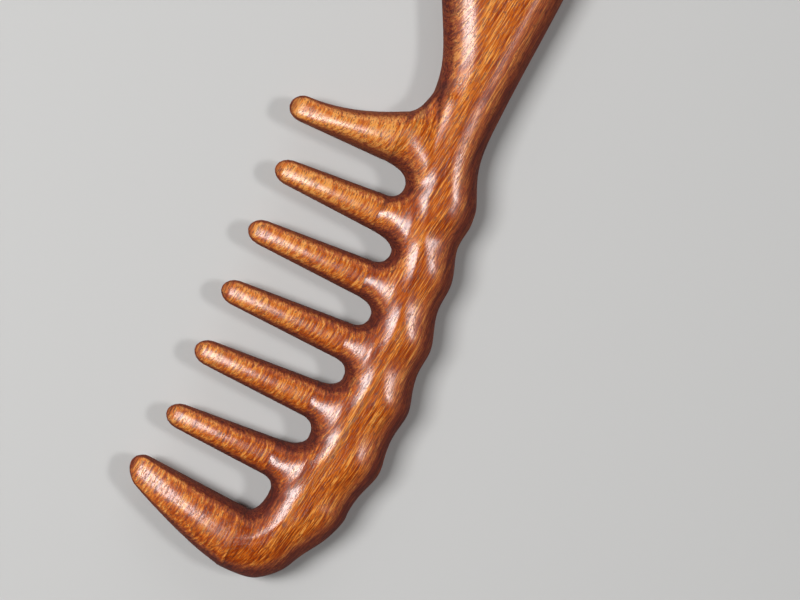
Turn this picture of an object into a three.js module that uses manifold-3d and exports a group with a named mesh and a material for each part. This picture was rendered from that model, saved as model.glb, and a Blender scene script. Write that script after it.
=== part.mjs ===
// Wooden wide-tooth comb: a board with a flared handle and a bowed spine, and seven teeth glued into it.
// Millimetres. X runs from the handle to the toe, the teeth point to -Y, and the comb lies flat on its back.
// The drawing's own zero is on the middle tooth's axis, at the crown of the gaps, halfway through the board.

import * as THREE from "three";
import { mergeVertices } from "three/addons/utils/BufferGeometryUtils.js";
import Module from "manifold-3d";

// Board
const boardThickness = 13;
const edgeRound = 6.5; // the toe and the collars swell to the full thickness over this
const gapEdgeReach = 7.2; // how far the rounded edge reaches in from the outline, over the gaps
const handleEdgeReach = 10; // under the handle
const reachChange = 28; // the length of handle over which the one becomes the other
const backEdgeReach = 8; // along the back

// Row of teeth
const toothCount = 7;
const toothPitch = 14.65;
const toeSideShift = 0.8; // the tooth beside the last one sits this far off its pitch, towards the toe
const gapArcRadius = 140; // the bottoms of the gaps lie on this arc
const toothReach = 33; // from the crown of the gaps to the tips
const endToothReach = 35.7; // the first and the last tooth stand proud of the row
const collarLength = 2.8; // from the lower of the gaps beside a tooth down to its joint

// Teeth
const toothRootWidth = 8.5;
const toothRootThickness = 8.8;
const toothTipWidth = 5.6;
const toothTipThickness = 4.8;
const tipRound = 3.2; // length of the rounded tip
const toothPower = 2.5; // 2 is a true oval across a tooth, more is flatter on its top and its sides
const thicknessTaper = 2; // more than 1 keeps a tooth thick towards its root
const heelFlank = 8.9; // outer flank of the first tooth at its root, from its axis
const heelInnerFlank = 3.6;
const heelTipFlank = 2.5; // the same two flanks at its tip
const heelTipInnerFlank = 3.3;
const heelHollow = 1.85; // 1 is a straight flank, more is a hollow one
const heelThickness = 12.2;
const toeFlank = 13.2; // outer flank of the last tooth at its root, from its axis
const toeInnerFlank = 1.2;
const toeTipFlank = 4.3; // the same two flanks at its tip
const toeTipInnerFlank = 2.9;
const toeFullness = 1.33; // 1 is a straight flank, more is a full one
const toeThickness = 12.4;
const endTipThickness = 5.4; // of the first and the last tooth

// Glued joints
const tenonDiameter = 5;
const endTenonDiameter = 6;
const tenonLength = 9;
const tenonChamfer = 0.5;
const glueGap = 0.15; // round the tenon
const socketRelief = 0.8; // past the end of the tenon
const cutterOverrun = 1; // the socket's cutter starts this far outside the joint

// Spine and toe
const spineDepth = 16.4; // from the crown of the gaps to the highest point of the back
const crestOffset = 14; // that point, from the middle tooth towards the toe
const shoulderDepth = 12; // the back where the spine starts
const shoulderOffset = 7.3; // from the first tooth towards the toe
const spineSlope = 0.06; // the back's slope at the shoulder
const scallopDepth = 1.1;
const scallopPitch = 15.2; // the first crest is at the shoulder
const scallopFade = 6; // length in which the scallops die out

// Neck and handle
const neckBackOffset = 6; // the neck's lowest point on the back, from the first tooth towards the handle
const neckBackHeight = 8.1;
const neckUnderOffset = 15.5; // the neck's highest point under it, from the first tooth
const neckUnderHeight = -7.6;
const handleLength = 74; // from there to the handle's end
const handleEndHeight = -3;
const handleEndRound = 11; // how far the handle's end thins out
const bellyOffset = 32.6; // the handle's lowest point, from the neck
const bellyHeight = -18.5;
const handleBackOffset = 44.6; // the handle's highest point, from the neck
const handleBackHeight = 11;

// Fineness of the facets
const ringSides = 20; // round a tooth
const edgeSteps = 5; // over a quarter of the board's rounded edge
const handleSteps = 16;
const spineSteps = 34;
const toeSteps = 26;
const collarSteps = 9;
const collarCrowding = 1.5; // more than 1 crowds the steps towards the joint
const shankSteps = 6;
const capSteps = 4;
const mergeDistance = 1e-3; // points closer than this are one point
const quarterTurn = Math.PI / 2;

const woodColour = 0x9b5428;
const toothColour = 0xa9612e;

const headHalf = ((toothCount - 1) / 2) * toothPitch;
const firstTooth = -headHalf;
const lastTooth = headHalf;
const toeEnd = lastTooth + toeFlank;
const toeRound = (toeFlank + toeInnerFlank) / 2; // the toe thins out as the last tooth's root does

const neckUnder = new THREE.Vector2(firstTooth - neckUnderOffset, neckUnderHeight);
const neckBack = new THREE.Vector2(firstTooth - neckBackOffset, neckBackHeight);
const belly = new THREE.Vector2(neckUnder.x - bellyOffset, bellyHeight);
const handleBack = new THREE.Vector2(neckUnder.x - handleBackOffset, handleBackHeight);
const handleEnd = new THREE.Vector2(neckUnder.x - handleLength, handleEndHeight);
const shoulder = new THREE.Vector2(firstTooth + shoulderOffset, shoulderDepth);
const crest = new THREE.Vector2(crestOffset, spineDepth);

const wasm = await Module();
wasm.setup();

// The arc that the bottoms of the gaps lie on, level past the middle of the first and the last gap.
function gapLine(x) {
  const lastGap = lastTooth - toothPitch / 2;
  const within = THREE.MathUtils.clamp(x, -lastGap, lastGap);
  return Math.sqrt(gapArcRadius ** 2 - within ** 2) - gapArcRadius;
}

// A cubic between two points, with a slope at each.
function sweep(from, to, slopeFrom, slopeTo, x) {
  const span = to.x - from.x;
  const t = (x - from.x) / span;
  const rise = t * t * (3 - 2 * t);
  const leave = t * (1 - t) ** 2 * slopeFrom * span;
  const arrive = t * t * (t - 1) * slopeTo * span;
  return from.y + (to.y - from.y) * rise + leave + arrive;
}

// A quarter of an ellipse, level at the top point and upright at the end point.
function roundOff(top, endX, endY, x) {
  const share = THREE.MathUtils.clamp((x - top.x) / (endX - top.x), 0, 1);
  return endY + (top.y - endY) * Math.sqrt(1 - share * share);
}

// The toe's outline the other way round: how far it reaches at a height.
function toeReach(y) {
  const foot = gapLine(lastTooth);
  const share = THREE.MathUtils.clamp((y - foot) / (crest.y - foot), 0, 1);
  return crest.x + (toeEnd - crest.x) * Math.sqrt(1 - share * share);
}

// Shallow waves along the spine's back, from the shoulder round to the toe.
function scallop(x) {
  const fadeIn = THREE.MathUtils.smoothstep(x, shoulder.x, shoulder.x + scallopFade);
  const fadeOut = 1 - THREE.MathUtils.smoothstep(x, toeEnd - scallopFade, toeEnd);
  const wave = 0.5 - 0.5 * Math.cos((2 * Math.PI * (x - shoulder.x)) / scallopPitch);
  return scallopDepth * wave * fadeIn * fadeOut;
}

function backEdge(x) {
  if (x < handleBack.x) return roundOff(handleBack, handleEnd.x, handleEnd.y, x);
  if (x < neckBack.x) return sweep(handleBack, neckBack, 0, 0, x);
  if (x < shoulder.x) return sweep(neckBack, shoulder, 0, spineSlope, x) - scallop(x);
  if (x < crest.x) return sweep(shoulder, crest, spineSlope, 0, x) - scallop(x);
  return roundOff(crest, toeEnd, gapLine(lastTooth), x) - scallop(x);
}

function underEdge(x) {
  const heel = new THREE.Vector2(firstTooth - heelFlank, gapLine(firstTooth));
  if (x < belly.x) return roundOff(belly, handleEnd.x, handleEnd.y, x);
  if (x < neckUnder.x) return sweep(belly, neckUnder, 0, 0, x);
  if (x < heel.x) return sweep(neckUnder, heel, 0, 0, x);
  return gapLine(x);
}

// A closed skin through rings of equal length, with both ends covered. Points that coincide are merged.
function loft(rings) {
  const sides = rings[0].length;
  const middles = [rings[0], rings.at(-1)].map((ring) =>
    ring.reduce((sum, point) => sum.add(point), new THREE.Vector3()).divideScalar(sides),
  );
  const points = [...rings.flat(), ...middles];
  const corners = [];
  for (let ring = 0; ring + 1 < rings.length; ring++) {
    for (let side = 0; side < sides; side++) {
      const here = ring * sides + side;
      const next = ring * sides + ((side + 1) % sides);
      corners.push([here, next, next + sides], [here, next + sides, here + sides]);
    }
  }
  const lastRing = (rings.length - 1) * sides;
  for (let side = 0; side < sides; side++) {
    const next = (side + 1) % sides;
    corners.push([next, side, points.length - 2]);
    corners.push([lastRing + side, lastRing + next, points.length - 1]);
  }
  const raw = new THREE.BufferGeometry().setFromPoints(points);
  raw.setIndex(corners.flat());
  const merged = mergeVertices(raw, mergeDistance);
  const index = merged.index.array;
  const kept = [];
  for (let i = 0; i < index.length; i += 3) {
    const [a, b, c] = index.subarray(i, i + 3);
    if (a !== b && b !== c && c !== a) kept.push(a, b, c);
  }
  merged.setIndex(kept);
  return merged;
}

function solidOf(geometry) {
  const bare = geometry.clone();
  bare.deleteAttribute("normal");
  bare.deleteAttribute("uv");
  const merged = mergeVertices(bare, mergeDistance);
  return new wasm.Manifold(
    new wasm.Mesh({
      numProp: 3,
      vertProperties: new Float32Array(merged.attributes.position.array),
      triVerts: new Uint32Array(merged.index.array),
    }),
  );
}

function geometryOf(solid) {
  const mesh = solid.getMesh();
  const geometry = new THREE.BufferGeometry();
  geometry.setAttribute("position", new THREE.BufferAttribute(mesh.vertProperties, 3));
  geometry.setIndex(new THREE.BufferAttribute(mesh.triVerts, 1));
  geometry.computeVertexNormals();
  return geometry;
}

// The board at one place along its length: two flat faces between two rounded edges.
function boardSection(x) {
  const under = underEdge(x);
  const back = backEdge(x);
  const depth = Math.max(back - under, 0);
  const endShare = Math.min((x - handleEnd.x) / handleEndRound, (toeEnd - x) / toeRound);
  const fullness = THREE.MathUtils.clamp(Math.min(depth / (2 * edgeRound), endShare), 0, 1);
  const alongHandle = THREE.MathUtils.smoothstep(neckBack.x - x, 0, reachChange);
  const underReach = THREE.MathUtils.lerp(gapEdgeReach, handleEdgeReach, alongHandle);
  const squeeze = Math.min(1, depth / (underReach + backEdgeReach));
  const half = (boardThickness / 2) * Math.sqrt(fullness * (2 - fullness));
  const rounded = (reach, turn) => squeeze * reach * (1 - Math.cos(turn));
  const quarter = Array.from({ length: edgeSteps + 1 }, (_, i) => (i / edgeSteps) * quarterTurn);
  const rear = [
    ...quarter.map((turn) => [under + rounded(underReach, turn), -half * Math.sin(turn)]),
    ...quarter.toReversed().map((turn) => [back - rounded(backEdgeReach, turn), -half * Math.sin(turn)]),
  ];
  const front = rear.slice(1, -1).reverse();
  return [
    ...rear.map(([y, z]) => new THREE.Vector3(x, y, z)),
    ...front.map(([y, z]) => new THREE.Vector3(x, y, -z)),
  ];
}

function board() {
  const places = [];
  for (let i = 0; i < handleSteps; i++) {
    places.push(neckUnder.x - handleLength * Math.cos((quarterTurn * i) / handleSteps));
  }
  for (let i = 0; i < spineSteps; i++) {
    places.push(THREE.MathUtils.lerp(neckUnder.x, crest.x, i / spineSteps));
  }
  for (let i = 0; i <= toeSteps; i++) {
    places.push(crest.x + (toeEnd - crest.x) * Math.sin((quarterTurn * i) / toeSteps));
  }
  return loft(places.map(boardSection));
}

function toothAxis(number) {
  return firstTooth + (number - 1) * toothPitch + (number === toothCount - 1 ? toeSideShift : 0);
}

// The middle of the gap after a tooth.
function gapMiddle(number) {
  return (toothAxis(number) + toothAxis(number + 1)) / 2;
}

// What one tooth measures at its root, and where it stands.
function toothPlan(number) {
  const axis = toothAxis(number);
  const first = number === 1;
  const last = number === toothCount;
  const end = first || last;
  const plain = toothRootWidth / 2;
  const plainTip = toothTipWidth / 2;
  const left = first ? heelFlank : last ? toeInnerFlank : plain;
  const right = last ? toeFlank : first ? heelInnerFlank : plain;
  const leftTip = first ? heelTipFlank : last ? toeTipInnerFlank : plainTip;
  const rightTip = last ? toeTipFlank : first ? heelTipInnerFlank : plainTip;
  const leftBottom = first ? neckUnderHeight : gapLine(gapMiddle(number - 1));
  const rightBottom = gapLine(last ? axis : gapMiddle(number));
  return {
    axis,
    left,
    right,
    leftTip,
    rightTip,
    leftBottom,
    rightBottom,
    leftSpread: first ? neckUnderOffset : axis - gapMiddle(number - 1),
    rightSpread: last ? right : gapMiddle(number) - axis,
    leftHollow: first ? heelHollow : 1,
    rightFullness: last ? toeFullness : 1,
    halfThickness: (first ? heelThickness : last ? toeThickness : toothRootThickness) / 2,
    tipHalfThickness: (end ? endTipThickness : toothTipThickness) / 2,
    joint: Math.min(leftBottom, rightBottom) - collarLength,
    tip: end ? -endToothReach : -toothReach,
    tenonRadius: (end ? endTenonDiameter : tenonDiameter) / 2,
    tenonAxis: axis + (right - left) / 2,
  };
}

// An oval across a tooth or a collar, from its left flank to its right flank.
function oval(y, left, right, halfThickness, power = toothPower) {
  const flatten = (share) => Math.sign(share) * Math.abs(share) ** (2 / power);
  return Array.from({ length: ringSides }, (_, i) => {
    const turn = (i / ringSides) * 2 * Math.PI;
    const x = (left + right) / 2 + ((right - left) / 2) * flatten(Math.cos(turn));
    return new THREE.Vector3(x, y, halfThickness * flatten(Math.sin(turn)));
  });
}

// A flank of a collar: upright at the joint, and level where it reaches the bottom of the gap.
function flare(root, spread, height, inside) {
  const level = Math.min(1, inside / height);
  return THREE.MathUtils.lerp(root, spread, 1 - Math.sqrt(1 - level * level));
}

// The board's flare into a tooth: it narrows round the bottoms of the gaps and thins down to the joint.
function collar(plan) {
  const { axis, joint } = plan;
  const length = gapLine(axis) + edgeRound - joint;
  const rings = [];
  for (let i = collarSteps; i >= 0; i--) {
    const inside = length * (i / collarSteps) ** collarCrowding;
    const y = joint + inside;
    const left = flare(plan.left, plan.leftSpread, plan.leftBottom - joint, inside);
    const right = flare(plan.right, plan.rightSpread, plan.rightBottom - joint, inside);
    const swell = Math.sin(quarterTurn * (inside / length));
    const half = THREE.MathUtils.lerp(plan.halfThickness, boardThickness / 2, swell);
    rings.push(oval(y, axis - left, Math.min(axis + right, toeReach(y)), half));
  }
  return loft(rings);
}

function socket(plan) {
  const depth = tenonLength + socketRelief;
  const radius = plan.tenonRadius + glueGap;
  const cutter = new THREE.CylinderGeometry(radius, radius, depth + cutterOverrun, ringSides);
  cutter.translate(plan.tenonAxis, plan.joint + (depth - cutterOverrun) / 2, 0);
  return cutter;
}

function handleAndSpine(plans) {
  const collared = plans.reduce((body, plan) => body.add(solidOf(collar(plan))), solidOf(board()));
  return geometryOf(plans.reduce((body, plan) => body.subtract(solidOf(socket(plan))), collared));
}

function tooth(plan) {
  const { axis, joint, tip, tenonRadius, tenonAxis } = plan;
  const peg = (y, radius) => oval(y, tenonAxis - radius, tenonAxis + radius, radius, 2);
  const tenonEnd = joint + tenonLength;
  const rings = [
    peg(tenonEnd, tenonRadius - tenonChamfer),
    peg(tenonEnd - tenonChamfer, tenonRadius),
    peg(joint, tenonRadius),
  ];
  const shank = joint - tip - tipRound;
  const cut = (down, scale) => {
    const share = down / shank; // more than 1 in the rounded tip
    const left = THREE.MathUtils.lerp(plan.leftTip, plan.left, Math.max(0, 1 - share) ** plan.leftHollow);
    const right = THREE.MathUtils.lerp(plan.right, plan.rightTip, share ** plan.rightFullness);
    const half = THREE.MathUtils.lerp(plan.halfThickness, plan.tipHalfThickness, share ** thicknessTaper);
    return { middle: axis + (right - left) / 2, halfWidth: ((left + right) / 2) * scale, half: half * scale };
  };
  const ringAt = (y, { middle, halfWidth, half }) => oval(y, middle - halfWidth, middle + halfWidth, half);
  for (let i = 0; i <= shankSteps; i++) {
    const down = (shank * i) / shankSteps;
    rings.push(ringAt(joint - down, cut(down, 1)));
  }
  for (let i = 1; i <= capSteps; i++) {
    const turn = quarterTurn * (i / capSteps);
    const down = shank + tipRound * Math.sin(turn);
    rings.push(ringAt(joint - down, cut(down, Math.cos(turn))));
  }
  return loft(rings);
}

const plans = Array.from({ length: toothCount }, (_, i) => toothPlan(i + 1));
const wood = new THREE.MeshStandardMaterial({ color: woodColour, roughness: 0.4, metalness: 0 });
const toothWood = new THREE.MeshStandardMaterial({ color: toothColour, roughness: 0.4, metalness: 0 });

const comb = new THREE.Group();
const body = new THREE.Mesh(handleAndSpine(plans), wood);
body.name = "handle_and_spine";
comb.add(body);
plans.forEach((plan, i) => {
  const piece = new THREE.Mesh(tooth(plan), toothWood);
  piece.name = `tooth_${i + 1}`;
  comb.add(piece);
});

// The part's own zero is under the middle of its box, on the surface it lies on.
const box = new THREE.Box3().setFromObject(comb);
const middle = box.getCenter(new THREE.Vector3());
comb.children.forEach((piece) => piece.position.set(-middle.x, -middle.y, -box.min.z));

export default comb;
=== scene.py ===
# Wooden wide-tooth comb: one smooth skin over the board and its teeth, cut apart at the glued joints.
# Drawn in millimetres. Zero is on the middle tooth's axis, at the gaps' crown, halfway through the board.
import math

import bmesh
import bpy
from mathutils import Matrix, Vector


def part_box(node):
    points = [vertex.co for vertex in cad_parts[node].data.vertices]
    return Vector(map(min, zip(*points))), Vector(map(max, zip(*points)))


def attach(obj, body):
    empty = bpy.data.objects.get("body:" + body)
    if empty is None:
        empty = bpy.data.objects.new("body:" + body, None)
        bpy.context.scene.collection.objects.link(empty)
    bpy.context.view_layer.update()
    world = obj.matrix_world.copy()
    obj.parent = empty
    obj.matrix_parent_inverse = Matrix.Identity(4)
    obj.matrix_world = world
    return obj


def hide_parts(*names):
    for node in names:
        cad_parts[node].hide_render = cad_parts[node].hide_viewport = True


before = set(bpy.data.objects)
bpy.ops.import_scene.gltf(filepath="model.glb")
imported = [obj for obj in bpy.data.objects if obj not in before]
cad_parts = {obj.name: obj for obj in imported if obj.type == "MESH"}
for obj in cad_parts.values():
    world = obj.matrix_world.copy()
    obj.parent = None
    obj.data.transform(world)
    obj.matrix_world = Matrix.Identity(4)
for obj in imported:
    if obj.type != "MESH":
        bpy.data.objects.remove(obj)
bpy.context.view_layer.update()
print("frame loaded")

mm = 0.001

row = {
    "count": 7,
    "pitch": 14.65,
    "toeSideShift": 0.8,  # the tooth beside the last one sits this far off its pitch
    "gapRadius": 140.0,  # the bottoms of the gaps lie on this arc
    "reach": 33.0,  # from the crown of the gaps to the tips
    "endReach": 35.7,
    "collar": 2.8,  # from the lower gap beside a tooth down to its joint
}
headHalf = (row["count"] - 1) / 2 * row["pitch"]
firstTooth = -headHalf
lastTooth = headHalf

board = {
    "half": 6.38,  # the smooth skin rises a little over its points
    "collarReach": 6.5,  # the collars swell to the full thickness over this
    # how far the rounded edges reach in: over the gaps, along the back and under the handle
    "gapReach": 6.6,
    "backReach": 8.0,
    "handleReach": 10.0,
    "reachChange": (6.0, 28.0),  # from the neck, towards the handle
    "toeEnd": lastTooth + 13.2,
    "crest": Vector((14.0, 16.4)),
    "shoulder": Vector((firstTooth + 7.3, 12.0)),
    "spineSlope": 0.06,
    "neckBack": Vector((firstTooth - 6.0, 8.1)),
    "neckUnder": Vector((firstTooth - 15.5, -7.6)),
    "belly": Vector((firstTooth - 48.1, -18.5)),
    "handleBack": Vector((firstTooth - 60.1, 11.0)),
    "handleEnd": Vector((firstTooth - 89.5, -3.0)),
    "handleEndRound": 11.0,
    "heelFlank": 8.9,
    "scallopDepth": 1.1,
    "scallopPitch": 15.2,  # the first crest is at the shoulder
    "scallopFade": 6.0,
    "scallopOnFace": (0.2, 0.35, 0.2),  # how far the waves sink the face's last rows
    "scallopOnFaceEnd": lastTooth - 6.325,
    "collarBlend": 8,  # more joins board and collar with a tighter curve
}


def addObject(name, data):
    made = bpy.data.objects.new(name, data)
    bpy.context.scene.collection.objects.link(made)
    return made


def lerp(start, end, share):
    return start + (end - start) * share


def clamp(value, low=0.0, high=1.0):
    return max(low, min(high, value))


def signedPower(value, power):
    return math.copysign(abs(value) ** power, value)


def easeStep(value, low, high):
    share = clamp((value - low) / (high - low))
    return share * share * (3 - 2 * share)


def gapLine(x):
    lastGap = headHalf - row["pitch"] / 2
    within = clamp(x, -lastGap, lastGap)
    return math.sqrt(row["gapRadius"] ** 2 - within**2) - row["gapRadius"]


# a cubic between two points, with a slope at each
def sweep(start, end, slopeStart, slopeEnd, x):
    span = end.x - start.x
    t = (x - start.x) / span
    leave = t * (1 - t) ** 2 * slopeStart * span
    arrive = t * t * (t - 1) * slopeEnd * span
    return lerp(start.y, end.y, t * t * (3 - 2 * t)) + leave + arrive


# a quarter of an ellipse, level at the top point and upright at the end
def roundOff(top, endX, endY, x):
    share = clamp((x - top.x) / (endX - top.x))
    return lerp(endY, top.y, math.sqrt(1 - share * share))


# 0 on the crest of a wave along the back, 1 in its trough
def scallop(x):
    start, end, fade = board["shoulder"].x, board["toeEnd"], board["scallopFade"]
    wave = 0.5 - 0.5 * math.cos(math.tau * (x - start) / board["scallopPitch"])
    return wave * easeStep(x, start, start + fade) * (1 - easeStep(x, end - fade, end))


def backEdge(x):
    if x < board["handleBack"].x:
        return roundOff(board["handleBack"], *board["handleEnd"], x)
    if x < board["neckBack"].x:
        return sweep(board["handleBack"], board["neckBack"], 0, 0, x)
    dip = board["scallopDepth"] * scallop(x)
    if x < board["shoulder"].x:
        return sweep(board["neckBack"], board["shoulder"], 0, board["spineSlope"], x) - dip
    if x < board["crest"].x:
        return sweep(board["shoulder"], board["crest"], board["spineSlope"], 0, x) - dip
    return roundOff(board["crest"], board["toeEnd"], gapLine(lastTooth), x) - dip


def underEdge(x):
    heel = Vector((firstTooth - board["heelFlank"], gapLine(firstTooth)))
    if x < board["belly"].x:
        return roundOff(board["belly"], *board["handleEnd"], x)
    if x < board["neckUnder"].x:
        return sweep(board["belly"], board["neckUnder"], 0, 0, x)
    if x < heel.x:
        return sweep(board["neckUnder"], heel, 0, 0, x)
    return gapLine(x)


# how full the section is at a distance in from its outline
def edgeFullness(inset, reach):
    share = clamp(1 - inset / reach)
    return math.sqrt(1 - share * share)


def boardHalf(x):
    share = clamp((x - board["handleEnd"].x) / board["handleEndRound"])
    return board["half"] * math.sqrt(share * (2 - share))


# how far the two rounded edges reach in, where the board is this deep
def edgeReaches(x, depth):
    alongHandle = easeStep(board["neckBack"].x - x, *board["reachChange"])
    under = lerp(board["gapReach"], board["handleReach"], alongHandle)
    squeeze = min(1, depth / (under + board["backReach"]))
    return under * squeeze, board["backReach"] * squeeze


def boardHeight(x, y):
    under, back = underEdge(x), backEdge(x)
    insets = (max(0, y - under), max(0, back - y))
    reaches = edgeReaches(x, back - under)
    return boardHalf(x) * min(edgeFullness(inset, reach) for inset, reach in zip(insets, reaches))


teeth = {
    "rootHalf": 4.25,
    "rootThick": 4.4,
    "tipHalf": 2.8,
    "tipThick": 2.4,
    "tipRound": 3.2,
    "square": 2.5,  # of a collar and a shank: 2 is a true oval, more is flatter on top
    "tipSquare": 3.0,
    "tipFull": 2.5,  # the same for the rounded tip, seen from the side
    "squareChange": (0.5, 1),  # the stretch of the shank over which square becomes tipSquare
    "thickTaper": 2.5,  # more than 1 keeps the tooth thick towards its root
    # each flank's distance from the axis; hollow and full bend a flank in or out, and 1 is straight
    "heel": {
        "root": (8.9, 3.6),
        "tip": (2.5, 3.3),
        "hollow": (1.85, 1.0),
        "lean": (0.3, 0.0),  # how far its collar's curve is drawn straight
        "thick": 6.1,
        "tipThick": 2.9,
        "thickTaper": 1.7,
        "tipSquare": 3.6,
    },
    "toe": {
        "root": (1.2, 13.0),
        "tip": (2.9, 4.3),
        "full": (1.0, 1.33),
        "thick": 6.2,
        "tipThick": 2.9,
        "thickTaper": 1.7,
        "tipSquare": 3.6,
    },
    "stations": (0.08, 0.22, 0.38, 0.55, 0.72, 0.88, 1.0),  # rings down the shank
    "capTurns": (22, 42, 60, 76),  # rings round the tip, in degrees
    "tenon": 2.5,
    "endTenon": 3.0,
    "tenonLength": 9.0,
    "tenonChamfer": 0.5,
    "glueGap": 0.15,
    "socketRelief": 0.8,
    "ringMargin": 1.0,  # for finding the edges round a joint
}


def toothAxis(number):
    shift = row["toeSideShift"] if number == row["count"] - 1 else 0
    return firstTooth + (number - 1) * row["pitch"] + shift


# the middle of the gap after a tooth
def gapMiddle(number):
    return (toothAxis(number) + toothAxis(number + 1)) / 2


def toothPlan(number):
    axis = toothAxis(number)
    first, last = number == 1, number == row["count"]
    own = teeth["heel"] if first else teeth["toe"] if last else {}
    left, right = own.get("root", (teeth["rootHalf"],) * 2)
    leftEnd = board["neckUnder"].x if first else gapMiddle(number - 1)
    rightEnd = axis + right if last else gapMiddle(number)
    leftBottom = board["neckUnder"].y if first else gapLine(leftEnd)
    rightBottom = gapLine(rightEnd)
    return {
        "number": number,
        "axis": axis,
        "flank": (left, right),
        "bottom": (leftBottom, rightBottom),
        "spread": (axis - leftEnd, rightEnd - axis),
        "tipFlank": own.get("tip", (teeth["tipHalf"],) * 2),
        "hollow": own.get("hollow", (1.0, 1.0)),
        "full": own.get("full", (1.0, 1.0)),
        "lean": own.get("lean", (0.0, 0.0)),
        "thick": own.get("thick", teeth["rootThick"]),
        "tipThick": own.get("tipThick", teeth["tipThick"]),
        "thickTaper": own.get("thickTaper", teeth["thickTaper"]),
        "tipSquare": own.get("tipSquare", teeth["tipSquare"]),
        "joint": min(leftBottom, rightBottom) - row["collar"],
        "tip": -(row["endReach"] if own else row["reach"]),
        "tenon": teeth["endTenon"] if own else teeth["tenon"],
        "middle": axis + (right - left) / 2,
    }


plans = [toothPlan(number) for number in range(1, row["count"] + 1)]


# a flank of a collar: side 0 is towards the handle, level 0 is the joint and 1 the bottom of the gap
def collarFlank(plan, side, level):
    curl = lerp(1 - math.sqrt(1 - level * level), level, plan["lean"][side])
    reach = lerp(plan["flank"][side], plan["spread"][side], curl)
    x = plan["axis"] + (2 * side - 1) * reach
    return Vector((x, lerp(plan["joint"], plan["bottom"][side], level), 0))


# middle, half width and half thickness of a collar at a height
def collarSection(plan, y):
    inside = max(0, y - plan["joint"])
    levels = [min(1, inside / (bottom - plan["joint"])) for bottom in plan["bottom"]]
    left, right = (collarFlank(plan, side, levels[side]).x for side in (0, 1))
    length = gapLine(plan["axis"]) + board["collarReach"] - plan["joint"]
    swell = math.sin(math.pi / 2 * min(1, inside / length))
    return (left + right) / 2, (right - left) / 2, lerp(plan["thick"], board["half"], swell)


# board and collar run into each other without a crease
def faceHeight(plan, x, y):
    middle, width, thick = collarSection(plan, y)
    square, power = teeth["square"], board["collarBlend"]
    collar = thick * max(0, 1 - abs((x - middle) / width) ** square) ** (1 / square)
    both = (boardHeight(x, y) ** power + collar**power) ** (1 / power)
    return min(board["half"], both)


# goes on past the end of the shank, into the rounded tip
def toothSection(plan, share):
    left, right = (
        lerp(tip, flank, signedPower(1 - share**full, hollow))
        for tip, flank, full, hollow in zip(plan["tipFlank"], plan["flank"], plan["full"], plan["hollow"])
    )
    thick = lerp(plan["thick"], plan["tipThick"], share ** plan["thickTaper"])
    return plan["axis"] + (right - left) / 2, (left + right) / 2, thick


# a point on a tooth's flattened oval, one unit wide and thick
def ovalPoint(turn, share=0.0, tipSquare=teeth["tipSquare"]):
    power = 2 / lerp(teeth["square"], tipSquare, easeStep(share, *teeth["squareChange"]))
    return signedPower(math.cos(turn), power), signedPower(math.sin(turn), power)


cage = {
    "rows": 7,  # rows of points across the face, from the teeth to the back
    "turns": (34, 60, 82),  # where the outer three rows lie round the edge, in degrees
    "handle": (-124.5, -117.0, -108.0, -98.0, -88.0, -78.5, -70.5, -64.2),  # its sections
    # the handle's end: under or back edge, and how far in from the end
    "noseOutline": ((0, 6.0), (0, 2.4), (0, 0.5), (0, 0), (1, 0.5), (1, 2.4), (1, 6.0)),
    "noseInset": 2.6,
    "sideLevel": 0.6,  # the ring halfway up a collar
    "cornerLevel": 0.93,  # where the collar turns into the bottom of the gap
    "cornerInward": (0.5, 0.866),  # from there onto the face: towards the axis and up
    "cornerInset": 2.0,
    "axisInset": 1.8,  # from the gaps up to the first point on a tooth's axis
    "columnHalf": 4.4,  # from a tooth's axis to the columns of points beside it
    "heelColumn": 8.0,
    "heelInward": Vector((0.24, 0.97, 0)),  # from the corner under the neck onto the face
    # sections round the toe: level on the last tooth's flank, place round the back, half thickness
    "toeLevels": (0.98, 0.92, 0.8, 0.62, 0.34),
    "toeTurns": (41, 51, 61, 71.5, 82),
    "toeHalves": (6.42, 6.4, 6.38, 6.34, 6.28),
    "mergeWithin": 1e-4,
    "rounds": 8,  # of drawing the cage out until the smooth skin lies on the drawing
    "levels": 3,
}
lastRow = cage["rows"] - 1
edgeRows = len(cage["turns"])
toothSides = (-1, 0, 1)  # towards the handle, on the tooth's axis, towards the toe


# how far round the edge a row lies, where the middle row is on top
def rowTurn(place):
    return math.radians([*cage["turns"], 90][min(place, lastRow - place)])


# the rows of one straight section of the board, between its two outlines
def sectionRows(under, back, half):
    line = back - under
    underReach, backReach = edgeReaches(under.x, line.length)
    points = []
    for place in range(cage["rows"]):
        turn = rowTurn(place)
        if place == lastRow - place:
            inset = (underReach + line.length - backReach) / 2
        elif place < lastRow / 2:
            inset = underReach * (1 - math.cos(turn))
        else:
            inset = line.length - backReach * (1 - math.cos(turn))
        spot = under.lerp(back, inset / line.length)
        points.append(Vector((spot.x, spot.y, half * math.sin(turn))))
    return points


# each column: its points on the face, and the points on the outline that some of them face
def plainColumn(under, back, half):
    under, back = under.to_3d(), back.to_3d()
    return {"face": sectionRows(under, back, half), "rim": {0: under, lastRow: back}}


def straightColumn(x):
    return plainColumn(Vector((x, underEdge(x))), Vector((x, backEdge(x))), boardHalf(x))


def noseColumn():
    end = board["handleEnd"].x
    rim, face = {}, []
    inner = Vector((end + board["handleEndRound"], board["handleEnd"].y, 0))
    for place, (isBack, inset) in enumerate(cage["noseOutline"]):
        x = end + inset
        rim[place] = Vector((x, backEdge(x) if isBack else underEdge(x), 0))
        spot = rim[place] + (inner - rim[place]).normalized() * cage["noseInset"]
        spot.z = boardHeight(spot.x, spot.y)
        face.append(spot)
    return {"face": face, "rim": rim}


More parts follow.
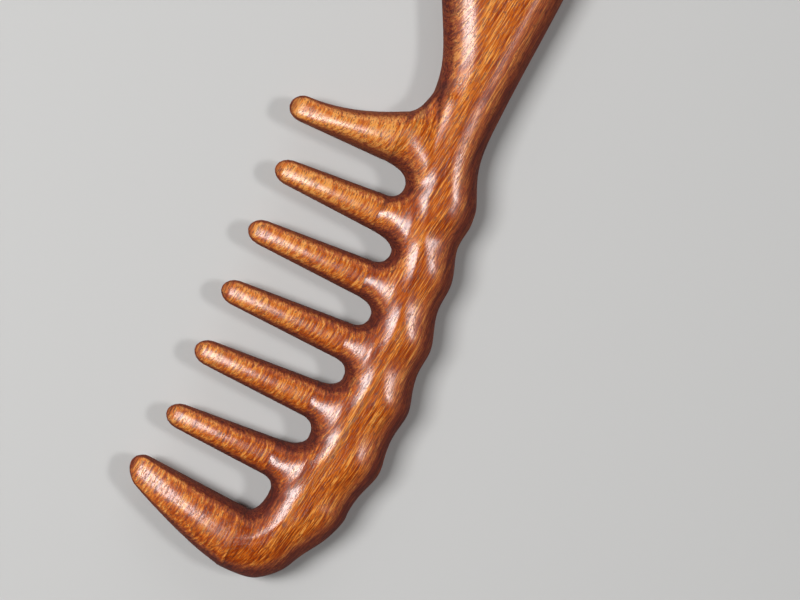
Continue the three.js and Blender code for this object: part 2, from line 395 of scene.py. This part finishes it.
def toothColumn(plan, side):
    isHeel = plan["number"] == 1 and side < 0
    half = cage["heelColumn"] if isHeel else cage["columnHalf"]
    topX = plan["axis"] + side * half if side else lerp(plan["middle"], plan["axis"], 0.5)
    rim, face = {}, []
    if side:
        rim[0] = collarFlank(plan, (side + 1) // 2, cage["cornerLevel"])
        inward, rise = cage["cornerInward"]
        corner = rim[0] + Vector((-side * inward, rise, 0)) * cage["cornerInset"]
    else:
        corner = Vector((plan["middle"], gapLine(plan["axis"]) + cage["axisInset"], 0))
    rim[lastRow] = Vector((topX, backEdge(topX), 0))
    straight = sectionRows(Vector((topX, underEdge(topX), 0)), rim[lastRow], board["half"])
    for place, spot in enumerate(straight):
        spot.x = lerp(corner.x, topX, clamp(place / (edgeRows - 1)))
        if place == 0:
            spot.y = corner.y
        if place < edgeRows:
            spot.z = faceHeight(plan, spot.x, spot.y)
        face.append(spot)
    if isHeel:  # the rounded edge of the neck runs on round the corner of the first tooth
        for place, turn in enumerate(map(math.radians, cage["turns"])):
            face[place] = rim[0] + cage["heelInward"] * board["gapReach"] * (1 - math.cos(turn))
            face[place].z = board["half"] * math.sin(turn)
    return {"face": face, "rim": rim}


def toeColumns(plan):
    columns = []
    for level, turn, half in zip(cage["toeLevels"], cage["toeTurns"], cage["toeHalves"]):
        x = lerp(board["crest"].x, board["toeEnd"], math.sin(math.radians(turn)))
        under = collarFlank(plan, 0, level).to_2d()
        columns.append(plainColumn(under, Vector((x, backEdge(x))), half))
    left, right = plan["flank"]
    under = Vector((plan["axis"] - left, plan["joint"]))
    back = Vector((plan["axis"] + right, plan["joint"]))
    line = plainColumn(under, back, plan["thick"])
    for place, spot in enumerate(line["face"]):  # the joint's oval, edge to edge
        turn = rowTurn(place)
        across, up = ovalPoint(turn)
        share = (1 - across) / 2
        spot.x = lerp(under.x, back.x, share if place <= lastRow / 2 else 1 - share)
        spot.z = plan["thick"] * up
    return [*columns, line]


columns = [noseColumn(), *(straightColumn(x) for x in cage["handle"])]
columns.append(straightColumn(board["neckUnder"].x))
toothColumns = {}
for plan in plans[:-1]:
    toothColumns[plan["number"]] = len(columns)
    columns.extend(toothColumn(plan, side) for side in toothSides)
    columns.append(straightColumn(gapMiddle(plan["number"])))
columns.extend(toeColumns(plans[-1]))
for column in columns:  # the waves of the back run a little way onto the face
    for spot, sink in zip(column["face"][-edgeRows:], board["scallopOnFace"]):
        if spot.x < board["scallopOnFaceEnd"]:
            spot.z -= sink * scallop(spot.x)


# extrudes open edges and puts each new point at its place
def pull(mesh, edges, places):
    made = bmesh.ops.extrude_edge_only(mesh, edges=edges)["geom"]
    fresh = {item for item in made if isinstance(item, bmesh.types.BMVert)}
    pairs = {}
    for vert in fresh:
        for edge in vert.link_edges:
            if edge.other_vert(vert) not in fresh:
                pairs[edge.other_vert(vert)] = vert
    for old, new in pairs.items():
        new.co = places(old) if callable(places) else places[old]
    faces = [item for item in made if isinstance(item, bmesh.types.BMFace)]
    onward = [
        item
        for item in made
        if isinstance(item, bmesh.types.BMEdge) and all(vert in fresh for vert in item.verts)
    ]
    return pairs, onward, faces


# the open edges round one tooth's joint
def jointRing(edges, plan):
    low = plan["axis"] - plan["flank"][0] - teeth["ringMargin"]
    high = plan["axis"] + plan["flank"][1] + teeth["ringMargin"]
    return [edge for edge in edges if all(low < vert.co.x < high for vert in edge.verts)]


skin = bmesh.new()
bmesh.ops.create_grid(skin, x_segments=len(columns) - 1, y_segments=lastRow, size=1)
sheet = {}  # the grid's points by column and row
for vert in skin.verts:
    place = (round((vert.co.x + 1) / 2 * (len(columns) - 1)), round((vert.co.y + 1) / 2 * lastRow))
    sheet[place] = vert
rimPlaces = {}
for (across, place), vert in sheet.items():
    vert.co = columns[across]["face"][place]
    if place in columns[across]["rim"]:
        rimPlaces[vert] = columns[across]["rim"][place]

jointEdges = []
ringAcross, ringUp = ovalPoint(math.pi / 4)
for plan in plans[:-1]:
    start = toothColumns[plan["number"]]
    verts = [sheet[(start + step, 0)] for step in range(len(toothSides))]
    edges = [skin.edges.get(pair) for pair in zip(verts, verts[1:])]
    for level in (cage["sideLevel"], 0):
        walls = [collarFlank(plan, side, level) for side in (0, 1)]
        heights = (walls[0].y, (walls[0].y + walls[1].y) / 2, walls[1].y)
        places = {}
        for vert, y, across, up in zip(verts, heights, (-ringAcross, 0, ringAcross), (ringUp, 1, ringUp)):
            middle, width, thick = collarSection(plan, y)
            places[vert] = Vector((middle + width * across, y, thick * up))
        pairs, edges, _ = pull(skin, edges, places)
        verts = [pairs[vert] for vert in verts]
        rimPlaces[verts[0]], rimPlaces[verts[-1]] = walls
    jointEdges.extend(edges)
toeVerts = [sheet[(len(columns) - 1, place)] for place in range(cage["rows"])]
jointEdges.extend(skin.edges.get(pair) for pair in zip(toeVerts, toeVerts[1:]))
openRim = [edge for edge in skin.edges if edge.is_boundary and edge not in set(jointEdges)]
pull(skin, openRim, rimPlaces)
halfSkin = skin.verts[:] + skin.edges[:] + skin.faces[:]
bmesh.ops.mirror(skin, geom=halfSkin, axis="Z", merge_dist=cage["mergeWithin"])
print("board drawn", len(skin.faces), "faces")

crease = skin.edges.layers.float.new("crease_edge")
for face in skin.faces:
    face.material_index = 0
rings = [edge for edge in skin.edges if edge.is_boundary]
for plan in plans:
    ring = jointRing(rings, plan)
    middle, width, thick = toothSection(plan, 0)
    turns = {}
    isEnd = plan["number"] in (1, row["count"])
    for edge in ring:
        edge[crease] = 0.0 if isEnd else 1.0
        for vert in edge.verts:
            up, across = vert.co.z / thick, (vert.co.x - middle) / width
            turns[vert] = math.atan2(*(signedPower(value, teeth["square"] / 2) for value in (up, across)))
    shank = plan["joint"] - plan["tip"] - teeth["tipRound"]
    stations = [(share, 1.0, 1.0) for share in teeth["stations"]]
    for turn in teeth["capTurns"]:
        sine = math.sin(math.radians(turn))
        full = (1 - sine ** teeth["tipFull"]) ** (1 / teeth["tipFull"])
        stations.append((1 + teeth["tipRound"] * sine / shank, math.cos(math.radians(turn)), full))
    edges = ring
    for share, scale, full in stations:
        middle, width, thick = toothSection(plan, share)
        y = plan["joint"] - shank * share
        places = {}
        for vert, turn in turns.items():
            across, up = ovalPoint(turn, share, plan["tipSquare"])
            places[vert] = Vector((middle + width * scale * across, y, thick * full * up))
        pairs, edges, faces = pull(skin, edges, places)
        turns = {pairs[vert]: turn for vert, turn in turns.items()}
        for face in faces:
            face.material_index = plan["number"]
    cap = bmesh.ops.contextual_create(skin, geom=edges)["faces"]
    poked = bmesh.ops.poke(skin, faces=cap)
    poked["verts"][0].co = Vector((middle, plan["tip"], 0))
    for face in poked["faces"]:
        face.material_index = plan["number"]
bmesh.ops.recalc_face_normals(skin, faces=skin.faces[:])
print("teeth drawn", len(skin.faces), "faces")

cageMesh = bpy.data.meshes.new("comb_cage")
skin.to_mesh(cageMesh)
drawn = [vert.co.copy() for vert in skin.verts]
skin.free()
cageObject = addObject("comb_cage", cageMesh)
smooth = cageObject.modifiers.new("smooth", "SUBSURF")


def smoothMesh(levels):
    smooth.levels = smooth.render_levels = levels
    cageMesh.update()
    graph = bpy.context.evaluated_depsgraph_get()
    return bpy.data.meshes.new_from_object(cageObject.evaluated_get(graph))


# the cage's points come first in the smooth mesh, in the same order
for _ in range(cage["rounds"]):
    now = smoothMesh(1)
    worst = 0
    for vert, target in zip(cageMesh.vertices, drawn):
        short = target - now.vertices[vert.index].co
        vert.co += short
        worst = max(worst, short.length)
    bpy.data.meshes.remove(now)
print("skin lies within", round(worst, 3), "mm of the drawing")
fine = smoothMesh(cage["levels"])
# the material paints shade on the rounded sides from this, and roughens them
turnedLayer = fine.attributes.new("turned", "FLOAT", "POINT")  # 0 where the skin lies flat, 1 upright
turnedLayer.data.foreach_set("value", [1 - abs(normal.vector.z) for normal in fine.vertex_normals])
bpy.data.objects.remove(cageObject)

zero = Vector((
    sum(corner.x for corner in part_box("tooth_4")) / 2,
    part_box("tooth_4")[0].y + row["reach"] * mm,
    sum(corner.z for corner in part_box("handle_and_spine")) / 2,
))
toFrame = Matrix.Translation(zero) @ Matrix.Scale(mm, 4)


# closes an open end at a joint with a round hole or a round peg, bored or standing towards the back
def closeJoint(mesh, ring, plan, radius, length, chamfer):
    def circle(size, y):
        def place(vert):
            turn = math.atan2(vert.co.z, vert.co.x - plan["middle"])
            return Vector((plan["middle"] + size * math.cos(turn), y, size * math.sin(turn)))
        return place

    edges = ring
    top = plan["joint"] + length
    steps = [(radius, plan["joint"]), (radius, top - chamfer), (radius - chamfer, top)]
    for edge in edges:
        edge.smooth = False
    for size, y in steps if chamfer else steps[:2]:
        _, edges, _ = pull(mesh, edges, circle(size, y))
        for edge in edges:
            edge.smooth = False
    bmesh.ops.contextual_create(mesh, geom=edges)


def cutPiece(name, number):
    mesh = bmesh.new()
    mesh.from_mesh(fine)
    others = [face for face in mesh.faces if face.material_index != number]
    bmesh.ops.delete(mesh, geom=others, context="FACES")
    openEdges = [edge for edge in mesh.edges if edge.is_boundary]
    seamLayer = mesh.verts.layers.float.new("seam")  # 1 along the glue lines
    for edge in openEdges:
        for vert in edge.verts:
            vert[seamLayer] = 1.0
    for plan in plans if number == 0 else [plans[number - 1]]:
        ring = jointRing(openEdges, plan)
        if number == 0:
            depth = teeth["tenonLength"] + teeth["socketRelief"]
            closeJoint(mesh, ring, plan, plan["tenon"] + teeth["glueGap"], depth, 0)
        else:
            closeJoint(mesh, ring, plan, plan["tenon"], teeth["tenonLength"], teeth["tenonChamfer"])
    for face in mesh.faces:
        face.material_index = 0
        face.smooth = True
    bmesh.ops.recalc_face_normals(mesh, faces=mesh.faces[:])
    mesh.transform(toFrame)
    data = bpy.data.meshes.new(name)
    mesh.to_mesh(data)
    mesh.free()
    return addObject(name, data)


spinePiece = cutPiece("spine_wood", 0)
toothPieces = [cutPiece(f"tooth_wood_{plan['number']}", plan["number"]) for plan in plans]
bpy.data.meshes.remove(fine)
bpy.data.meshes.remove(cageMesh)
print("pieces cut", 1 + len(toothPieces))


def addNode(tree, kind, **settings):
    node = tree.nodes.new(kind)
    for name, value in settings.items():
        setattr(node, name, value)
    return node


def maths(tree, operation, first, second=None, third=None):
    node = addNode(tree, "ShaderNodeMath", operation=operation)
    for socket, value in zip(node.inputs, (first, second, third)):
        if value is None:
            continue
        if isinstance(value, (int, float)):
            socket.default_value = value
        else:
            tree.links.new(value, socket)
    return node.outputs[0]


# rises or falls smoothly between two edges
def smoothStep(tree, value, edges, ends):
    node = addNode(tree, "ShaderNodeMapRange", interpolation_type="SMOOTHSTEP")
    for socket, number in zip(node.inputs[1:5], (*edges, *ends)):
        socket.default_value = number
    tree.links.new(value, node.inputs[0])
    return node.outputs[0]


# tone, dark lines, open pores and height of the grain; X of the vector runs along it
def buildGrain():
    grain = {
        "layerTilt": math.radians(36),  # the growth layers lean, so they bow where the surface is round
        "middle": 0.5,  # of every noise, and of the tones
        "wander": 0.0025,
        "wanderScale": 14,
        "wanderDetail": 1,
        # repeats in a metre along the grain, across the layers and in depth; detail; roughness; weight
        "broad": ((6, 60, 12), 2, 0.5, 1.0),
        "streak": ((10, 900, 120), 2, 0.6, 1.3),
        "fibre": ((200, 3800, 1500), 2, 0.6, 2.9),
        "line": ((8, 330, 20), 1, 0.5),
        "lineWidth": 0.016,
        "pore": ((800, 6400, 4000), 1, 0.5),
        "poreEdge": (0.55, 0.62),
        "fibreHeight": 0.5,
        "streakHeight": 0.1,
        "poreHeight": -0.15,
    }
    tree = bpy.data.node_groups.new("comb_grain", "ShaderNodeTree")
    tree.interface.new_socket("Vector", in_out="INPUT", socket_type="NodeSocketVector")
    for name in ("Fineness", "Dash", "Streak"):
        socket = tree.interface.new_socket(name, in_out="INPUT", socket_type="NodeSocketFloat")
        socket.default_value = 1
    for name in ("Tone", "Line", "Pore", "Height"):
        tree.interface.new_socket(name, in_out="OUTPUT", socket_type="NodeSocketFloat")
    entry = addNode(tree, "NodeGroupInput")
    leave = addNode(tree, "NodeGroupOutput")
    split = addNode(tree, "ShaderNodeSeparateXYZ")
    tree.links.new(entry.outputs["Vector"], split.inputs[0])
    x, y, z = split.outputs
    drift = addNode(tree, "ShaderNodeTexNoise")
    drift.inputs["Scale"].default_value = grain["wanderScale"]
    drift.inputs["Detail"].default_value = grain["wanderDetail"]
    tree.links.new(entry.outputs["Vector"], drift.inputs["Vector"])
    aside = maths(tree, "SUBTRACT", drift.outputs["Fac"], grain["middle"])
    bend = maths(tree, "MULTIPLY", aside, grain["wander"])
    across = maths(tree, "MULTIPLY", maths(tree, "ADD", y, bend), math.cos(grain["layerTilt"]))
    plain = maths(tree, "SUBTRACT", across, maths(tree, "MULTIPLY", z, math.sin(grain["layerTilt"])))
    layer = maths(tree, "MULTIPLY", plain, entry.outputs["Fineness"])
    dashed = maths(tree, "MULTIPLY", x, entry.outputs["Dash"])

    def noise(name, along=x, across=layer):
        scales, detail, roughness = grain[name][:3]
        place = addNode(tree, "ShaderNodeCombineXYZ")
        for socket, value, scale in zip(place.inputs, (along, across, z), scales):
            tree.links.new(maths(tree, "MULTIPLY", value, scale), socket)
        node = addNode(tree, "ShaderNodeTexNoise")
        node.inputs["Scale"].default_value = 1
        node.inputs["Detail"].default_value = detail
        node.inputs["Roughness"].default_value = roughness
        tree.links.new(place.outputs[0], node.inputs["Vector"])
        return maths(tree, "SUBTRACT", node.outputs["Fac"], grain["middle"])

    parts = {"broad": noise("broad"), "fibre": noise("fibre", dashed)}
    parts["streak"] = maths(tree, "MULTIPLY", noise("streak"), entry.outputs["Streak"])
    tone = grain["middle"]
    for name, value in parts.items():
        tone = maths(tree, "MULTIPLY_ADD", value, grain[name][3], tone)
    line = smoothStep(tree, maths(tree, "ABSOLUTE", noise("line")), (0, grain["lineWidth"]), (1, 0))
    poreEdges = [edge - grain["middle"] for edge in grain["poreEdge"]]
    pore = smoothStep(tree, noise("pore", x, plain), poreEdges, (0, 1))
    height = maths(tree, "MULTIPLY", pore, grain["poreHeight"])
    for name in ("streak", "fibre"):
        height = maths(tree, "MULTIPLY_ADD", parts[name], grain[name + "Height"], height)
    for name, value in (("Tone", tone), ("Line", line), ("Pore", pore), ("Height", height)):
        tree.links.new(value, leave.inputs[name])
    return tree


grainGroup = buildGrain()


def woodMaterial(name, look):
    material = bpy.data.materials.new(name)
    material.use_nodes = True
    tree = material.node_tree
    shader = tree.nodes["Principled BSDF"]
    coords = addNode(tree, "ShaderNodeTexCoord")
    turn = addNode(tree, "ShaderNodeMapping")
    turn.inputs["Rotation"].default_value = (0, 0, math.radians(look["grainTurn"]))
    turn.inputs["Location"].default_value = look["offset"]
    tree.links.new(coords.outputs["Object"], turn.inputs["Vector"])
    grain = addNode(tree, "ShaderNodeGroup", node_tree=grainGroup)
    tree.links.new(turn.outputs[0], grain.inputs["Vector"])
    for setting in ("Fineness", "Dash", "Streak"):
        grain.inputs[setting].default_value = look[setting.lower()]
    ramp = addNode(tree, "ShaderNodeValToRGB")
    stops = ramp.color_ramp.elements
    for position, colour in look["tones"][1:-1]:
        stops.new(position).color = (*colour, 1)
    stops[0].position, stops[-1].position = look["tones"][0][0], look["tones"][-1][0]
    stops[0].color, stops[-1].color = (*look["tones"][0][1], 1), (*look["tones"][-1][1], 1)
    split = addNode(tree, "ShaderNodeSeparateXYZ")
    tree.links.new(coords.outputs["Object"], split.inputs[0])
    tone = maths(tree, "MULTIPLY_ADD", split.outputs[0], look["toneSlope"], grain.outputs["Tone"])
    tree.links.new(maths(tree, "ADD", tone, look["toneShift"]), ramp.inputs[0])
    colour = ramp.outputs[0]

    def darken(colour, amount, dark, blend="MIX"):
        mix = addNode(tree, "ShaderNodeMix", data_type="RGBA", blend_type=blend)
        tree.links.new(amount, mix.inputs["Factor"])
        tree.links.new(colour, mix.inputs["A"])
        mix.inputs["B"].default_value = (*dark, 1)
        return mix.outputs["Result"]

    for mask in ("Line", "Pore"):
        amount = maths(tree, "MULTIPLY", grain.outputs[mask], look[mask.lower() + "Depth"])
        colour = darken(colour, amount, look["dark"])
    # painted shade: the rounded sides are darkened to a deeper red brown than the faces, as if turned
    # away from the light; the same mask also roughens them
    turned = addNode(tree, "ShaderNodeAttribute", attribute_name="turned")
    edges = [1 - math.cos(math.radians(tilt)) for tilt in look["sideTilts"]]
    side = smoothStep(tree, turned.outputs["Fac"], edges, (0, look["sideDepth"]))
    colour = darken(colour, side, look["paintedSideShade"], "MULTIPLY")
    seam = addNode(tree, "ShaderNodeAttribute", attribute_name="seam")
    colour = darken(colour, seam.outputs["Fac"], look["seamTint"], "MULTIPLY")
    tree.links.new(colour, shader.inputs["Base Color"])
    rough = maths(tree, "MULTIPLY_ADD", grain.outputs["Pore"], look["poreRoughness"], look["roughness"])
    rough = maths(tree, "MULTIPLY_ADD", side, look["sideRoughness"], rough)
    tree.links.new(rough, shader.inputs["Roughness"])
    bump = addNode(tree, "ShaderNodeBump")
    bump.inputs["Strength"].default_value = look["bump"]
    bump.inputs["Distance"].default_value = look["bumpDepth"] * mm
    tree.links.new(grain.outputs["Height"], bump.inputs["Height"])
    tree.links.new(bump.outputs[0], shader.inputs["Normal"])
    shader.inputs["IOR"].default_value = look["ior"]
    return material


spineLook = {
    "grainTurn": 8,
    "offset": (0.0, 0.0, 0.0),
    "fineness": 1.0,
    "dash": 1.0,  # more is shorter dashes of grain
    "streak": 1.0,
    "tones": (
        (0.0, (0.23, 0.027, 0.001)),
        (0.25, (0.37, 0.058, 0.003)),
        (0.5, (0.51, 0.108, 0.008)),
        (0.75, (0.65, 0.185, 0.02)),
        (1.0, (0.80, 0.33, 0.07)),
    ),
    "toneShift": 0.0,
    "toneSlope": -2.1,  # the wood deepens towards the toe, by this in a metre
    "dark": (0.11, 0.02, 0.003),
    "lineDepth": 0.5,
    "poreDepth": 0.75,
    # the painted shade on the rounded sides, and their added roughness, grow between these tilts
    "sideTilts": (11, 48),  # degrees from flat at which the tint starts and is full
    "sideDepth": 1.0,
    # the colour that the painted shade multiplies in on the rounded sides
    "paintedSideShade": (0.33, 0.17, 0.1),
    "seamTint": (0.62, 0.52, 0.46),
    "roughness": 0.21,
    "poreRoughness": 0.12,
    "sideRoughness": 0.7,
    "bump": 0.7,
    "bumpDepth": 0.052,
    "ior": 1.52,
}
toothLook = dict(
    spineLook,
    offset=(0.031, 0.007, 0.004),
    fineness=0.62,
    dash=0.5,
    streak=0.4,
    lineDepth=0.3,
    toneShift=0.2,
    sideTilts=(10, 56),
    roughness=0.27,
    bumpDepth=0.08,
)
spineWood = woodMaterial("spine_wood", spineLook)
toothWood = woodMaterial("tooth_wood", toothLook)

spinePiece.data.materials.append(spineWood)
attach(spinePiece, "root")
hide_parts("handle_and_spine")
for plan, piece in zip(plans, toothPieces):
    piece.data.materials.append(toothWood)
    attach(piece, "root")
    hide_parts(f"tooth_{plan['number']}")
print("wood on")

studio = {
    "floorColour": (0.55, 0.547, 0.54),
    "floorSize": 3.0,
    "floorRoughness": 0.9,
    "floorSpecular": 0.1,
    "aim": Vector((0.02475, 0.01408, 0.008)),  # the middle of the picture
    # each light's direction seen from above, its angle from upright, and the brightness of its face
    "keyFrom": Vector((0.2, -1, 0)),
    "keyTilt": 28,
    "keySize": (0.28, 0.52),
    "keyDistance": 1.1,
    "keyRadiance": 22.0,
    "fillFrom": Vector((-0.385, 0.923, 0)),
    "fillTilt": 35.6,
    "fillSize": (0.72, 0.5),
    "fillDistance": 4.0,
    "fillRadiance": 41.0,
    "rimFrom": Vector((-1, -0.3, 0)),
    "rimTilt": 62,
    "rimSize": (1.6, 1.6),
    "rimDistance": 2.0,
    "rimRadiance": 1.0,
    "world": 0.05,
    "backdrop": 0.52,  # what shows past the floor's edge
    "backdropTop": 12,  # degrees above the horizon
    "lens": 120,
    "sensor": 36,
    "clipStart": 0.01,
    "pictureWidth": 0.1776,  # metres across the picture, at the comb's face
    "roll": 114,
}

floorMesh = bpy.data.meshes.new("floor")
floorShape = bmesh.new()
bmesh.ops.create_grid(floorShape, x_segments=1, y_segments=1, size=studio["floorSize"] / 2)
floorShape.to_mesh(floorMesh)
floorShape.free()
floor = addObject("floor", floorMesh)
floorPaint = bpy.data.materials.new("floor_paint")
floorPaint.use_nodes = True
floorShader = floorPaint.node_tree.nodes["Principled BSDF"]
floorShader.inputs["Base Color"].default_value = (*studio["floorColour"], 1)
floorShader.inputs["Roughness"].default_value = studio["floorRoughness"]
floorShader.inputs["Specular IOR Level"].default_value = studio["floorSpecular"]
floorMesh.materials.append(floorPaint)


def softbox(name):
    width, height = studio[name + "Size"]
    light = bpy.data.lights.new(name + "_softbox", "AREA")
    light.shape = "RECTANGLE"
    light.size, light.size_y = width, height
    light.energy = studio[name + "Radiance"] * math.pi * width * height
    lamp = addObject(name + "_softbox", light)
    angle = math.radians(studio[name + "Tilt"])
    away = studio[name + "From"].normalized() * math.sin(angle) + Vector((0, 0, math.cos(angle)))
    lamp.location = studio["aim"] + away * studio[name + "Distance"]
    lamp.rotation_euler = (-away).to_track_quat("-Z", "Y").to_euler()


for name in ("key", "fill", "rim"):
    softbox(name)
# the backdrop is a low pale band round the horizon, for the camera and for reflections only
world = bpy.data.worlds.new("studio")
world.use_nodes = True
sky = world.node_tree
rays = addNode(sky, "ShaderNodeLightPath")
seen = rays.outputs["Is Camera Ray"]
for kind in ("Is Glossy Ray", "Is Transmission Ray"):
    seen = maths(sky, "MAXIMUM", seen, rays.outputs[kind])
heading = addNode(sky, "ShaderNodeTexCoord")
skyward = addNode(sky, "ShaderNodeSeparateXYZ")
sky.links.new(heading.outputs["Generated"], skyward.inputs[0])
low = maths(sky, "LESS_THAN", skyward.outputs["Z"], math.sin(math.radians(studio["backdropTop"])))
extra = studio["backdrop"] - studio["world"]
strength = maths(sky, "MULTIPLY_ADD", maths(sky, "MULTIPLY", seen, low), extra, studio["world"])
sky.links.new(strength, sky.nodes["Background"].inputs["Strength"])
sky.nodes["Background"].inputs["Color"].default_value = (1, 1, 1, 1)
bpy.context.scene.world = world
bpy.context.scene.view_settings.view_transform = "Standard"

cameraData = bpy.data.cameras.new("camera")
cameraData.lens = studio["lens"]
cameraData.sensor_width = studio["sensor"]
cameraData.clip_start = studio["clipStart"]
camera = addObject("camera", cameraData)
camera.location = studio["aim"]
camera.location.z += studio["pictureWidth"] * studio["lens"] / cameraData.sensor_width
camera.rotation_euler = (0, 0, math.radians(studio["roll"]))
bpy.context.scene.camera = camera
print("studio set")
